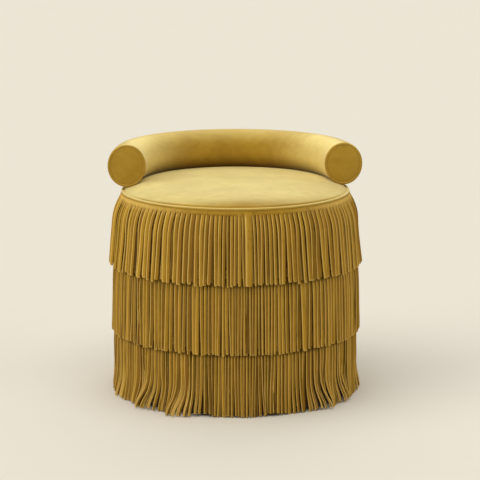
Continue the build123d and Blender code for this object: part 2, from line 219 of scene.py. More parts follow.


# Upholstery suede: dark and light by the nap's shade, with a painted sheen, pale where it faces its
# direction or the sides, less towards +X, more inside the bolster's ends, and painted shade in the crease
# behind the bolster
def makeSuede(name, s):
    material, tree, shader = newMaterial(name, suedeLook.sheen)
    east, north, up = addNode(tree, "SeparateXYZ", {0: objectPoint(tree)}).outputs
    normal = addNode(tree, "TexCoord").outputs["Normal"]
    shade, height = addNap(tree, s.patch, s.depth)
    colour = blend(tree, shade, s.dark, s.light)
    facing = cosine(tree, normal, s.toward)
    if "sides" in s:
        turnedOut = addNode(tree, "VectorMath", {0: normal}, operation="ABSOLUTE").outputs[0]
        sideways = cosine(tree, turnedOut, (1.0, 0.0, 0.0))
        facing = weighed(tree, (sideways, s.sides), offset=facing)
    # Painted sheen: pale colour painted by how far the surface faces its direction
    brushed = product(tree, between(tree, facing, s.begin, s.full), s.share)
    # Less painted sheen towards +X, so the seat is painted lighter on the left
    if "fades" in s:
        fades = s.fades
        fading = between(tree, east, fades.begin, fades.full)
        brushed = product(tree, brushed, weighed(tree, (fading, -fades.share), offset=1.0))
    # Painted highlight: pale colour painted inside the bolster near its ends
    if "ends" in s:
        ends = s.ends
        level = objectPoint(tree, (1.0, 1.0, 0.0))
        inside = between(tree, cosine(tree, normal, level), ends.inside, -ends.inside)
        near = product(tree, between(tree, north, ends.begin, ends.full), inside)
        brushed = weighed(tree, (near, ends.share), offset=brushed)
    shadeShare, least = suedeLook.brushedShade
    brushed = product(tree, brushed, weighed(tree, (shade, shadeShare), offset=least))
    colour = blend(tree, brushed, colour, s.brushed)
    # Painted shade: dark colour painted in the crease under the bolster, cleared near its ends
    if "crease" in s:
        crease = s.crease
        paintedShade = between(tree, up, crease.begin, crease.full)
        clear = between(tree, north, 0.0, crease.free)
        paintedShade = product(tree, paintedShade, clear, crease.share)
        colour = blend(tree, paintedShade, colour, crease.colour)
    dress(tree, shader, colour, shade, height, suedeLook)
    return material


stripFinish = settings(
    sheen={
        "Sheen Weight": 0.06, "Sheen Roughness": 0.4, "Sheen Tint": swatch(255, 214, 110), "IOR": 1.4,
        "Specular IOR Level": 0.02,
    },
    patch=24, depth=0.5, drawn=(260, 9, 1), streak=(1, 3, 0.6), streakShare=0.5,
    dark=(62, 36, 0), light=(187, 145, 52), brown=(134, 92, 38), brownShare=0.5, olive=(142, 118, 42),
    oliveShare=0.14, leaves=(0.004, 0.012), edge=(232, 193, 106), edgeShare=0.84, edgeFrom=0.16,
    edgeFull=0.46, raw=(0.488, 0.5), shadow=(104, 72, 12), shadowShare=0.34, shelter=(70, 45, 8),
    shelterShare=0.7, shelterEdge=(8, -1), rough=(0.15, 0.78), bump=(0.4, 0.4),
)
stripMarks = ("tone", "tint", "across", "wearAndSheen", "clear")


# Cut strip suede: tone and tint with streaks; below the header a pale left edge, the raw cut edge plus a
# painted highlight, and the right edge in painted shade; then wear and painted sheen, and painted shade
# under the tier above
def makeStripSuede(s):
    material, tree, shader = newMaterial("suedeStrip", s.sheen)
    tone, tint, across, wearAndSheen, clear = (
        addNode(tree, "Attribute", attribute_name=title).outputs["Fac"] for title in stripMarks
    )
    chart = addNode(tree, "UVMap", uv_map="stripMap").outputs[0]
    streak = noise(tree, stretched(tree, chart, s.drawn), *s.streak)
    napShade, height = addNap(tree, s.patch, s.depth)
    parts = ((tone, 1.0), (streak, s.streakShare), (napShade, 1.0))
    shade = weighed(tree, *parts, offset=-(s.streakShare + 1) / 2)
    greener = weighed(tree, (tint, -s.oliveShare), offset=s.oliveShare)
    down = addNode(tree, "SeparateXYZ", {0: chart}).outputs["Y"]
    cut = between(tree, down, *s.leaves)
    # Pale left edge: raw cut edge plus a painted highlight; dim right edge: painted shade
    pale = between(tree, across, -s.edgeFrom, -s.edgeFull)
    dim = between(tree, across, s.edgeFrom, s.edgeFull)
    pale = calculate(tree, "MAXIMUM", pale, between(tree, across, *s.raw))
    pale = product(tree, pale, s.edgeShare, cut)
    colour = blend(tree, shade, s.dark, s.light)
    colour = blend(tree, product(tree, tint, s.brownShare), colour, s.brown)
    colour = blend(tree, greener, colour, s.olive)
    colour = blend(tree, product(tree, dim, s.shadowShare, cut), colour, s.shadow)
    colour = blend(tree, calculate(tree, "MAXIMUM", pale, wearAndSheen), colour, s.edge)
    # Painted shade on the strips just below the tier above
    sheltered = product(tree, between(tree, clear, *s.shelterEdge), s.shelterShare)
    colour = blend(tree, sheltered, colour, s.shelter)
    dress(tree, shader, colour, streak, height, s)
    return material


# Plain material: from dark to pale by a pattern, whose relief sets the roughness and the bump
def makePlain(name, s, pattern):
    material, tree, shader = newMaterial(name, s.constants)
    mixed, relief = pattern(tree, s)
    dress(tree, shader, blend(tree, mixed, s.dark, s.pale), relief, relief, s)
    return material


woodFinish = settings(
    constants={"Specular IOR Level": 0.35}, bends={"Distortion": 2.2, "Detail": 2}, wobble=(9, 3),
    shares=(0.6, 0.4), pores=(620, 2, 0.7), rough=(0.25, 0.45), bump=(0.3, 0.25),
)
plyFinish = settings(
    woodFinish, pale=(214, 184, 136), dark=(176, 138, 90), scale=(1, 1, 6), rings=22,
)
timberFinish = settings(
    woodFinish, pale=(205, 170, 118), dark=(158, 116, 70), scale=(9, 9, 1), rings=14,
)


# Wood: rings drawn out along the length and broken up by noise, with fine pores as relief
def woodPattern(tree, s):
    point = objectPoint(tree, s.scale)
    wave = addNode(tree, "TexWave", {"Vector": point, "Scale": s.rings, **s.bends}).outputs["Fac"]
    figure = weighed(tree, *zip((wave, noise(tree, point, *s.wobble)), s.shares))
    return figure, noise(tree, point, *s.pores)


foamFinish = settings(
    constants={"Specular IOR Level": 0.2}, pale=(236, 226, 190), dark=(196, 180, 132), cells=900,
    cloud=26, shares=(0.6, 0.5), rough=(0.1, 0.86), bump=(0.5, 0.8),
)
waddingFinish = settings(foamFinish, pale=(240, 240, 236), dark=(206, 206, 200), cells=420)


# Foam: open cells from a cell pattern, darker and sunk between the walls, over a soft cloud
def foamPattern(tree, s):
    point = objectPoint(tree)
    cell = addNode(tree, "TexVoronoi", {"Vector": point, "Scale": s.cells}).outputs["Distance"]
    return weighed(tree, *zip((cell, noise(tree, point, s.cloud)), s.shares)), cell


clothFinish = settings(
    constants={"Specular IOR Level": 0.15, "Sheen Weight": 0.25}, pale=(62, 58, 54), dark=(30, 28, 26),
    bands={"Scale": 420, "Distortion": 0.4}, blotch=14, shares=(0.6, 0.4), rough=(0.1, 0.82),
    bump=(0.5, 0.3),
)


# Dust cloth: two crossed sine bands as warp and weft, halved, over a faint blotch
def clothPattern(tree, s):
    point = objectPoint(tree)
    bands = {"Vector": point, **s.bands}
    warp, weft = (addNode(tree, "TexWave", bands, bands_direction=axis).outputs["Fac"] for axis in "XY")
    weave = weighed(tree, (warp, 0.5), (weft, 0.5))
    return weighed(tree, *zip((weave, noise(tree, point, s.blotch)), s.shares)), weave


steelFinish = settings(
    constants={"Metallic": 1}, pale=(206, 206, 208), dark=(150, 150, 152),
    scale=(300, 300, 2400), grain=(1, 3, 0.65), rough=(0.25, 0.22), bump=(0.15, 0.1),
)
nylonFinish = settings(
    steelFinish, constants={"Metallic": 0, "IOR": 1.5}, pale=(58, 55, 52), dark=(34, 32, 30),
    scale=(700, 700, 700), rough=(0.25, 0.42),
)


# Hard finish: fine scratches or a moulding texture from drawn-out noise
def grainPattern(tree, s):
    grain = noise(tree, objectPoint(tree, s.scale), *s.grain)
    return grain, grain


seatSuede = makeSuede("suedeSeat", seatFinish)
bolsterSuede = makeSuede("suedeBolster", bolsterFinish)
endSuede = makeSuede("suedeEnd", endFinish)
pipingSuede = makeSuede("suedePiping", pipingFinish)
drumSuede = makeSuede("suedeDrum", drumFinish)
stripSuede = makeStripSuede(stripFinish)
plywood = makePlain("plywood", plyFinish, woodPattern)
timber = makePlain("timber", timberFinish, woodPattern)
foam = makePlain("seatFoam", foamFinish, foamPattern)
wadding = makePlain("waddingFibre", waddingFinish, foamPattern)
dustCloth = makePlain("dustCloth", clothFinish, clothPattern)
steel = makePlain("brushedSteel", steelFinish, grainPattern)
nylon = makePlain("nylonGlide", nylonFinish, grainPattern)
print("materials ready")


# Quads of a grid: each row and column joins the next, wrapped round where asked
def gridFaces(rows, cols, wrapCols=False, wrapRows=False):
    rowCount = rows if wrapRows else rows - 1
    colCount = cols if wrapCols else cols - 1
    row, col = np.meshgrid(np.arange(rowCount), np.arange(colCount), indexing="ij")
    right = (col + 1) % cols
    below = (row + 1) % rows
    corners = [row * cols + col, row * cols + right, below * cols + right, below * cols + col]
    return np.stack(corners, axis=-1).reshape(-1, 4)


# Closed section along open stations, with rungs across it closing both ends
def tubeFaces(stationCount, ring):
    step = np.arange(ring // 2 - 1)
    rungs = np.stack([step, step + 1, ring - 2 - step, ring - 1 - step], axis=-1)
    wall = gridFaces(stationCount, ring, True)
    return np.concatenate([wall, rungs[:, ::-1], rungs + (stationCount - 1) * ring])


# Faces of a count of equal tubes, each numbered after the one before
def tubeCopies(count, stationCount, ring):
    first = np.arange(count) * stationCount * ring
    return (tubeFaces(stationCount, ring) + first[:, None, None]).reshape(-1, 4)


# Mesh from points in millimetres, riding on the body and standing for the node it replaces
def newPiece(name, points, faces, material, stands=None):
    mesh = bpy.data.meshes.new(name)
    mesh.from_pydata((points.reshape(-1, 3) * mm).tolist(), [], faces.tolist())
    mesh.shade_smooth()
    mesh.materials.append(material)
    piece = bpy.data.objects.new(name, mesh)
    scene.collection.objects.link(piece)
    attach(piece, "root")
    if stands:
        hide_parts(stands)
    return piece


# Joins points that lie together, so that poles and seams are closed
def weld(piece):
    shape = bmesh.new()
    shape.from_mesh(piece.data)
    bmesh.ops.remove_doubles(shape, verts=shape.verts, dist=1e-6)
    shape.to_mesh(piece.data)
    shape.free()


# Angles of a full turn in equal steps
def fullTurn(count):
    return np.linspace(0, 2 * np.pi, count, endpoint=False)


# Points on a circle in the radius and height plane: r = r0 + q cos t, z = z0 + q sin t
def arc(centre, radius, turn):
    return np.stack([centre[0] + radius * np.cos(turn), centre[1] + radius * np.sin(turn)], -1)


# Points round the axis, slid sideways: x = r cos a - t sin a, y = r sin a + t cos a
def roundAxis(radius, angle, height, slide=0.0):
    x = radius * np.cos(angle) - slide * np.sin(angle)
    y = radius * np.sin(angle) + slide * np.cos(angle)
    return np.stack([x, y, np.broadcast_to(height, x.shape)], -1)


# Profile of (radius, height) points turned round the axis
def turned(profile, steps):
    radius, height = np.asarray(profile, float).T[:, :, None]
    return roundAxis(radius, fullTurn(steps), height)


# Turned piece from a profile that runs anticlockwise, closed or from axis to axis
def turnedRing(name, loop, steps, material, stands, closed=True):
    faces = gridFaces(len(loop), steps, True, closed)
    return newPiece(name, turned(loop, steps), faces, material, stands)


# Square grid bent into rings: the ring number is the larger of the two steps from the middle
def ringGrid(radii):
    reach = len(radii) - 1
    step = np.arange(-reach, reach + 1)
    north, east = np.meshgrid(step, step, indexing="ij")
    ring = np.maximum(np.abs(north), np.abs(east))
    across = np.abs(east) >= np.abs(north)
    safeEast = np.where(east == 0, 1, east)
    safeNorth = np.where(north == 0, 1, north)
    sideways = np.pi / 4 * north / safeEast + np.where(east < 0, np.pi, 0)
    upward = np.pi / 2 - np.pi / 4 * east / safeNorth + np.where(north < 0, np.pi, 0)
    angle = np.where(across, sideways, upward)
    radius = np.asarray(radii)[ring]
    return radius, radius * np.cos(angle), radius * np.sin(angle)


# Smooth rise from 0 to 1: 3t^2 - 2t^3
def ease(share):
    held = np.clip(share, 0, 1)
    return held * held * (3 - 2 * held)


# Blows a cover up as cloth with pressure and no weight; gives its points, none moved past the cap
def inflate(piece, held, s):
    vertices = piece.data.vertices
    before = np.empty(len(vertices) * 3, np.float32)
    vertices.foreach_get("co", before)
    pins = piece.vertex_groups.new(name="held")
    pins.add(np.flatnonzero(held).tolist(), 1.0, "REPLACE")
    cloth = piece.modifiers.new("swell", "CLOTH")
    cloth.settings.vertex_group_mass = "held"
    cloth.settings.use_pressure = True
    cloth.settings.uniform_pressure_force = s.pressure
    cloth.settings.effector_weights.gravity = 0
    cloth.collision_settings.use_collision = False
    for step in range(1, s.frames + 1):
        scene.frame_set(step)
    swollen = piece.evaluated_get(bpy.context.evaluated_depsgraph_get())
    after = np.empty_like(before)
    swollen.data.vertices.foreach_get("co", after)
    piece.modifiers.remove(cloth)
    scene.frame_set(1)
    move = (after - before).reshape(-1, 3)
    length = np.linalg.norm(move, axis=1, keepdims=True)
    move *= np.minimum(1, s.cap * mm / np.maximum(length, 1e-9))
    print("inflated", piece.name, "by up to", round(float(np.abs(move).max()) / mm, 2), "mm")
    return (before.reshape(-1, 3) + move) / mm


# Moves a piece's points to new places in millimetres
def movePoints(piece, points):
    piece.data.vertices.foreach_set("co", (points * mm).astype(np.float32).ravel())
    piece.data.update()


# Smooths a piece by one subdivision
def subdivide(piece):
    smooth = piece.modifiers.new("smooth", "SUBSURF")
    smooth.levels = 1
    smooth.render_levels = 1


# Gives a single skin its leather thickness on the inside
def thicken(piece, thickness):
    skin = piece.modifiers.new("leather", "SOLIDIFY")
    skin.thickness = thickness * mm
    skin.offset = -1


crown = settings(
    top=453.0, wideRadius=5153.0, rollStart=189.9, rollRadius=124.8, rollCentre=(185.3, 324.8),
)


# Height of the seat: a wide arc over the middle, then a tighter one rolling off to the edge
def crownHeight(radius):
    centreR, centreZ = crown.rollCentre
    wide = crown.top - crown.wideRadius + np.sqrt(crown.wideRadius**2 - radius**2)
    across = np.clip(radius - centreR, 0, crown.rollRadius)
    roll = centreZ + np.sqrt(crown.rollRadius**2 - across**2)
    return np.where(radius < crown.rollStart, wide, roll)


bolster = settings(
    ring=234.2, height=488.53, halfWidth=41.1, halfHeight=46, stations=97, section=48, endStep=2.5,
    endInsets=(41, 24, 6, 1, 0), endEase=0.12, endHeld=0.012, underside=-0.55, slack=0.8,
    pressure=5, frames=20, cap=2.2,
)


# Height of the bolster's underside over a radius: the lower half of its ellipse
def bolsterUnder(radius):
    across = np.clip((radius - bolster.ring) / bolster.halfWidth, -1, 1)
    return bolster.height - bolster.halfHeight * np.sqrt(1 - across**2)


seatTop = settings(
    middle=232, rings=30, edge=(234.5, 236.5, 238.2, 239.6, 240.8, 242), seam=234, seamWidth=8,
    seamDrop=2, bulge=4.2, bulgeRing=197, bulgeWidth=17, bulgeFade=40, pressed=0.5,
    pressedFrom=-4, touch=6, touchFrom=-2, touchShift=5, slack=1.2, dip=0.2, swell=1.6,
    swellFade=(150, 60), leather=1.6, pressure=4, frames=20, cap=3,
)


# Seat panel's height: the crown less the seam's drop, plus a bulge in front of the bolster, held to
# the bolster's underside below it
def seatHeight(s, radius, y):
    z = crownHeight(radius) - s.seamDrop * ease((radius - s.seam) / s.seamWidth) ** 2
    bulge = np.exp(-(((radius - s.bulgeRing) / s.bulgeWidth) ** 2))
    z = z + s.bulge * bulge * ease((y + s.bulgeFade) / s.bulgeFade)
    contact = bolsterUnder(radius) + s.pressed
    z = np.where(y > s.pressedFrom, np.minimum(z, contact), z)
    nearLine = np.abs(radius - bolster.ring + s.touchShift) < s.touch
    return np.where((y > s.touchFrom) & nearLine, np.maximum(z, contact), z)


# Keeps settled points on the crown or swollen a little above it, and out of the bolster
def holdToCrown(s, settled):
    reach = np.hypot(settled[:, 0], settled[:, 1])
    low = seatHeight(s, reach, settled[:, 1])
    fadeFrom, fadeOver = s.swellFade
    high = low + s.swell * (1 - ease((reach - fadeFrom) / fadeOver))
    settled[:, 2] = np.clip(settled[:, 2], low - s.dip, high)
    return settled


# Seat panel on a grid of rings, slack over the middle until the filling blows it up
def buildSeatTop(s):
    radii = np.concatenate([np.linspace(0, s.middle, s.rings), s.edge])
    radius, x, y = ringGrid(radii)
    z = seatHeight(s, radius, y)
    z = z - s.slack * (1 - ease(radius / s.seam))
    points = np.stack([x, y, z], -1)
    piece = newPiece("seatTop", points, gridFaces(*radius.shape), seatSuede, "seat_top_panel")
    settled = inflate(piece, radius.ravel() > s.seam, s)
    movePoints(piece, holdToCrown(s, settled))
    subdivide(piece)
    thicken(piece, s.leather)


buildSeatTop(seatTop)

seatPiping = settings(ring=(243.4, 433.7), radius=3, sides=14, steps=260)
pipingLoop = arc(seatPiping.ring, seatPiping.radius, fullTurn(seatPiping.sides))
turnedRing("seatPiping", pipingLoop, seatPiping.steps, pipingSuede, "seat_piping")

seatBorder = settings(
    loop=[(241.3, 385.6), (242.9, 385.6), (243.1, 400), (243.1, 416), (242.9, 431.3), (241.3, 431.3)],
    steps=180,
)
turnedRing("seatBorder", seatBorder.loop, seatBorder.steps, seatSuede, "seat_border")

seatCore = settings(
    middle=220, rings=24, edgeRings=(228, 234, 238), edge=240.4, bottom=384.4, rounding=6,
    sideTop=424, foamDrop=8.4, waddingDrop=3, waddingThickness=4.8, steps=120,
)


# Foam under the crown and a wadding layer over it, each the crown lowered by its own drop
def buildSeatCore(s):
    radius = np.concatenate([np.linspace(0, s.middle, s.rings), s.edgeRings])
    top = np.stack([radius, crownHeight(radius) - s.foamDrop], -1)
    foot = [(0, s.bottom), (s.edge - s.rounding, s.bottom)]
    side = [(s.edge, s.bottom + s.rounding), (s.edge, s.sideTop)]
    profile = np.concatenate([foot, side, top[::-1]])
    cushion = turnedRing("seatFoam", profile, s.steps, foam, "seat_foam", False)
    weld(cushion)
    upper = np.stack([radius, crownHeight(radius) - s.waddingDrop], -1)
    profile = np.concatenate([upper - (0, s.waddingThickness), upper[::-1]])
    layer = turnedRing("seatWadding", profile, s.steps, wadding, "seat_wadding", False)
    weld(layer)


buildSeatCore(seatCore)
print("seat built")


# The bolster's oval drawn in by inset: x = (a - inset) cos t, z = (b - inset) sin t
def oval(inset, turn):
    across = (bolster.halfWidth - inset) * np.cos(turn)
    return np.stack([across, (bolster.halfHeight - inset) * np.sin(turn)], -1)


# Closed loop of points on the oval, anticlockwise
def ovalLoop(inset, count):
    return oval(inset, (np.arange(count) + 0.5) * 2 * np.pi / count)


# Bolster cover: the oval carried round the back half of the ring, closed flat at both ends
def buildBolsterCover(s):
    slack = s.slack
    middle = np.linspace(0, np.pi, s.stations)[1:-1]
    lead = np.array([0, 0, 0, 0, s.endStep / s.ring])
    angle = np.concatenate([lead, middle, np.pi - lead[::-1]])
    inset = np.concatenate([s.endInsets, np.zeros(len(middle)), s.endInsets[::-1]])
    loops = np.stack([ovalLoop(step, s.section)[::-1] for step in inset])
    rise = loops[:, :, 1] / s.halfHeight
    fromEnd = np.minimum(angle, np.pi - angle)[:, None]
    upper = ease(rise - s.underside) * ease(fromEnd / s.endEase)
    loops = loops * (1 - slack * upper / s.halfWidth)[:, :, None]
    points = roundAxis(s.ring + loops[:, :, 0], angle[:, None], s.height + loops[:, :, 1])
    faces = tubeFaces(len(angle), s.section)
    piece = newPiece("bolsterCover", points, faces, bolsterSuede, "bolster_cover")
    held = (fromEnd < s.endHeld) | (rise < s.underside)
    movePoints(piece, inflate(piece, held.ravel(), s))
    weld(piece)
    subdivide(piece)


buildBolsterCover(bolster)

bolsterFoam = settings(
    inset=2.2, core=(17.6, 15.6), coreShift=-5, slit=0.01, sides=44, endGap=0.004, stations=60
)


# Foam sleeve: the oval slit along its underside and wrapped over the square core
def buildBolsterFoam(s):
    turn = np.linspace(s.slit - np.pi / 2, 1.5 * np.pi - s.slit, s.sides)
    coreWidth, coreHeight = s.core
    scale = np.maximum(np.abs(np.cos(turn)) / coreWidth, np.abs(np.sin(turn)) / coreHeight)
    inner = np.stack([np.cos(turn) / scale + s.coreShift, np.sin(turn) / scale], -1)
    section = np.concatenate([oval(s.inset, turn), inner[::-1]])[::-1]
    angle = np.linspace(s.endGap, np.pi - s.endGap, s.stations)
    points = roundAxis(bolster.ring + section[:, 0], angle[:, None], bolster.height + section[:, 1])
    faces = tubeFaces(len(angle), len(section))
    piece = newPiece("bolsterFoam", points, faces, foam, "bolster_foam")


buildBolsterFoam(bolsterFoam)

bolsterEnd = settings(
    inset=5.6, back=-4, front=-5.5, dome=0.9,
    shares=(1, 0.5, 0.03, 0, 0, 0.03, 0.1, 0.25, 0.5, 0.75, 1), backLoops=3, rim=(0.3, 0.5),
    middle=0.05, sides=64, pipingInset=3, pipingY=-3.3, pipingRadius=3, pipingSteps=96,
    pipingSides=14,
)


# Points of one end from its loops and depths: x = ring to the side + across, z = height + up
def endPoints(side, loops, depth):
    x = side * bolster.ring + loops[:, :, 0]
    return np.stack([x, np.broadcast_to(depth, x.shape), bolster.height + loops[:, :, 1]], -1)


# One end: a panel of nested ovals, a little domed, and piping carried round the oval's edge
def buildBolsterEnd(s, side, hand):
    share = np.array(s.shares)
    reach = bolster.halfWidth - s.inset - s.middle
    loops = np.stack([ovalLoop(s.inset + step * reach, s.sides) for step in share])
    rim = s.backLoops
    backRim, frontRim = s.rim
    depth = s.front - s.dome * (1 - (1 - share) ** 2)
    depth[:rim] = s.back
    depth[rim:rim + 2] = s.back - backRim, s.front + frontRim
    faces = tubeFaces(len(share), s.sides)
    stands = f"bolster_end_panel_{hand.lower()}"
    panelPoints = endPoints(side, loops, depth[:, None])
    weld(newPiece(f"bolsterEnd{hand}", panelPoints, faces, endSuede, stands))
    line = ovalLoop(s.pipingInset, s.pipingSteps)
    ahead = np.roll(line, -1, axis=0) - np.roll(line, 1, axis=0)
    ahead /= np.linalg.norm(ahead, axis=1, keepdims=True)
    outward = np.stack([ahead[:, 1], -ahead[:, 0]], -1)[:, None, :]
    turn = fullTurn(s.pipingSides)
    spread = line[:, None, :] + s.pipingRadius * np.cos(turn)[None, :, None] * outward
    points = endPoints(side, spread, s.pipingY + s.pipingRadius * np.sin(turn))
    faces = gridFaces(s.pipingSteps, s.pipingSides, True, True)
    stands = f"bolster_piping_{hand.lower()}"
    newPiece(f"bolsterPiping{hand}", points, faces, endSuede, stands)


buildBolsterEnd(bolsterEnd, 1, "Right")
buildBolsterEnd(bolsterEnd, -1, "Left")
print("bolster built")

sideCover = settings(
    outer=258.5, inner=256.9, bottom=8.4, top=385.6, shoulder=7.9, hem=228.5, tuck=236, foot=1.5,
    levels=(60, 120, 180, 240, 300, 350), arcPoints=7, steps=200,
)


# Drum cover: up the wall, round the shoulder, in over the deck and back along the inside
def buildSideCover(s):
    skin = s.outer - s.inner
    floor = s.bottom + skin
    centre = (s.outer - s.shoulder, s.top - s.shoulder)
    turn = np.linspace(0, np.pi / 2, s.arcPoints)
    over = arc(centre, s.shoulder, turn)
    under = arc(centre, s.shoulder - skin, turn[::-1])
    hem = [(s.hem, s.bottom), (s.outer - s.foot, s.bottom)]
    wall = [(s.outer, level) for level in (s.bottom + s.foot, *s.levels)]
    tuck = [(s.tuck, s.top), (s.tuck, s.top - skin)]
    inside = [(s.inner, floor), (s.hem, floor)]
    loop = np.concatenate([hem, wall, over, tuck, under, inside])
    turnedRing("sideCover", loop, s.steps, drumSuede, "side_cover")


buildSideCover(sideCover)

padding = settings(
    loop=[
        (250.6, 10.2), (255.5, 10.2), (256.4, 12), (256.4, 376), (255, 381), (252, 383.4),
        (250.6, 383.4),
    ],
    steps=160,
)
sidePadding = turnedRing("sidePadding", padding.loop, padding.steps, wadding, "side_padding")

dustCover = settings(radius=240.5, rings=26, height=8.3, sag=1.4, sagReach=170, thickness=0.8)


# Dust cover: a disc stretched under the base, sagging by the square of a cosine from its middle
def buildDustCover(s):
    radius, x, y = ringGrid(np.linspace(0, s.radius, s.rings))
    loose = np.cos(np.clip(radius / s.sagReach, 0, 1) * np.pi / 2) ** 2
    points = np.stack([x, y, s.height - s.sag * loose], -1)
    faces = gridFaces(*radius.shape)
    piece = newPiece("dustCover", points, faces, dustCloth, "dust_cover")
    thicken(piece, s.thickness)


buildDustCover(dustCover)

staples = settings(count=40, ring=234.5, halfLength=5, halfWidth=0.6, wire=0.55, sunk=0.1)


# Staples: a short flat bar at each even turn round the ring, pressed into the dust cover
def buildStaples(s):
    angle = fullTurn(s.count)[:, None, None]
    along = np.array([-s.halfLength, s.halfLength])[:, None]
    across = s.halfWidth * np.array([1, 1, -1, -1])
    drop = s.wire * np.array([0, -1, -1, 0])
    top = dustCover.height - dustCover.thickness + s.sunk
    points = roundAxis(s.ring + across, angle, top + drop, along)
    newPiece("dustCoverStaples", points, tubeCopies(*points.shape[:3]), steel)


buildStaples(staples)
print("drum skins built")

frontAngle = -math.pi / 2
frontZone = settings(begin=15, over=45, widens=35, steps=1441)

# What the strips of all three tiers share
allFringes = settings(
    tail=14, leather=1.5, wideAngle=-88, wideTone=0.95, wideShare=0.93, wideTurn=-3,
    # Rear layer: a darker tone and some strips nearly black, painted shade in the gaps between strips
    rearWidth=0.8, rearTone=0.78, rearDark=0.24, rearTurn=0.5, rearFlick=0.15, rearTaper=0.8,
    rearWear=0.6, rearFade=0.5, darkTone=0.08, tint=(0.4, 0.35), calm=(0.2, 0.5),
    leanWaves=(11, 17, 29, 43, 61), leanBend=1.6, pairSpread=(0.2, 1), pairOver=0.3, puff=0.8,
    # sunk: chance, depth and dimming; the dimming is painted shade
    puffWaves=(7, 13, 23), cutWave=0.8, cutWaves=(19, 31, 47), sunk=(0.16, 2.2, 0.3), settle=6,
    standSettle=(44, 60), coverLoss=0.35, bareTurn=0.2, bareSpread=(-1, 1),
    flickSpread=(0.8, 1.1), flickTwist=0.1, stagger=1.4, wornFrom=0.965, wispWear=(0.5, 1),
    floorGap=0.4, headerHalf=0.9, headerSteps=200, headerClear=100,
    chart=settings(width=0.01, apart=0.031, header=0.01),
)
upperFringe = settings(
    allFringes, name="fringeUpper", stands="fringe_upper", seed=5,
    header=[(245.3, 432), (245.7, 430.6), (247.1, 426.8), (248.6, 422.3)],
    # Header rows from the top: the dark top row is painted shade under the piping
    headerTone=(0.4, 0.84, 0.9, 0.96), headerWear=(0, 0.6, 1, 1), headerCover=6.5,
    # Painted sheen at the sides: pale header and pale strip tops
    sideWear=(0.8, 17),
    drape=[(246.3, 429.2), (248.6, 422.3), (259.9, 394.8), (266.3, 355.3), (274.3, 279.2)],
    flatRing=259.9, strips=144, wider=0.65, sheltered=-100, wideSlots=2, width=0.68,
    widthSpread=0.08, layerGap=3.6, rearShort=5, standOff=-1.2, turn=-10, turnAcross=(-6, 16),
    turnSpread=12, tone=(0.86, 0.18), paleLeft=0.11, dimLeft=0, cup=(0.8, 0.5), lean=1.3,
    bunch=1.8, pair=1.3, spread=0, tipOut=0.8, taper=0.25, taperFrom=0.97, thin=0, worn=0.6,
    wisps=0.2, cut=(-3, 1.5), bare=[], flicks=[], wall=((384, 398), (259.2, 244.2)),
)
middleFringe = settings(
    upperFringe, name="fringeMiddle", stands="fringe_middle", seed=12,
    header=[(259.8, 310.2), (259.8, 301), (259.8, 292.2)], headerTone=(0.8, 0.8, 0.8),
    headerWear=(0, 0, 0), headerCover=0, sideWear=(0, 26),
    drape=[(259.8, 292.2), (265, 269.8), (268, 205), (269.8, 132.2)], flatRing=265, strips=180,
    wider=0.75, sheltered=13.5, wideSlots=0, width=0.72, widthSpread=0.1, layerGap=3.2, standOff=-0.4,
    turn=-9, turnAcross=(-5, 14), turnSpread=10, tone=(0.8, 0.2), paleLeft=0, dimLeft=0.14,
    cup=(0.35, 0.4), lean=1.2, bunch=1.6, pair=1, wall=((0, 384), (259.2, 259.2)),
)
lowerFringe = settings(
    middleFringe, name="fringeLower", stands="fringe_lower", seed=26,
    header=[(259.8, 163.2), (259.8, 154), (259.8, 145.2)],
    drape=[(259.8, 145.2), (263.5, 122.6), (263.5, 49.2), (267, 4)], flatRing=263.5, strips=191,
    wider=0.55, standOff=0, layerGap=2.8, rearShort=0, tone=(0.75, 0.2), lean=1.6, bunch=2.2,
    pair=1.6, turnSpread=13, spread=3, tipOut=1.6, taper=0.12, taperFrom=0.5, thin=0.15, worn=0.3,
    wisps=0.5, cut=(-0.5, 4), bare=[(-108.4, 3.4, 3), (-76.7, 3.2, 3)],
    flicks=[
        (-161, 8, -6, 4), (-137, 7, -10, 18), (-119, 6, -8, 28), (-51, 6, 9, 19), (-36, 5, 7, 13),
        (-10, 8, 6, 4), (27, 6, -8, 6), (64, 7, 9, 8), (106, 7, -10, 9), (143, 6, 8, 6),
    ],
)

# Stations down a strip as shares of its length, and its six-point section: front face, then back face
stations = np.array([0, 0.05, 0.12, 0.2, 0.26, 0.31, 0.37, 0.45, 0.62, 0.74, 0.83, 0.91, 0.97, 1])
tipFrom = 0.4
tip = ease((stations - tipFrom) / (1 - tipFrom))
acrossRing = np.array([0.5, 0.0, -0.5, -0.5, 0.0, 0.5])
throughRing = np.array([0.5, 0.5, 0.5, -0.5, -0.5, -0.5])
lineSteps = 30


# Smooth line: a cubic between each two points, then a tail; gives its run, points and normals
def smoothLine(corners, tail):
    line = np.asarray(corners, float)
    last = line[-1] - line[-2]
    line = np.vstack([2 * line[0] - line[1], line, line[-1] + tail * last / np.linalg.norm(last)])
    line = np.vstack([line, 2 * line[-1] - line[-2]])
    share = np.linspace(0, 1, lineSteps, endpoint=False)[:, None, None]
    a, b, c, d = line[:-3], line[1:-2], line[2:-1], line[3:]
    square = 2 * a - 5 * b + 4 * c - d
    cube = 3 * b - a - 3 * c + d
    curve = 0.5 * (2 * b + (c - a) * share + square * share**2 + cube * share**3)
    curve = np.vstack([curve.transpose(1, 0, 2).reshape(-1, 2), line[-2]])
    run = np.concatenate([[0], np.cumsum(np.linalg.norm(np.diff(curve, axis=0), axis=1))])
    ahead = np.gradient(curve, run, axis=0)
    normal = np.stack([-ahead[:, 1], ahead[:, 0]], -1)
    return run, curve, normal / np.linalg.norm(normal, axis=1, keepdims=True)


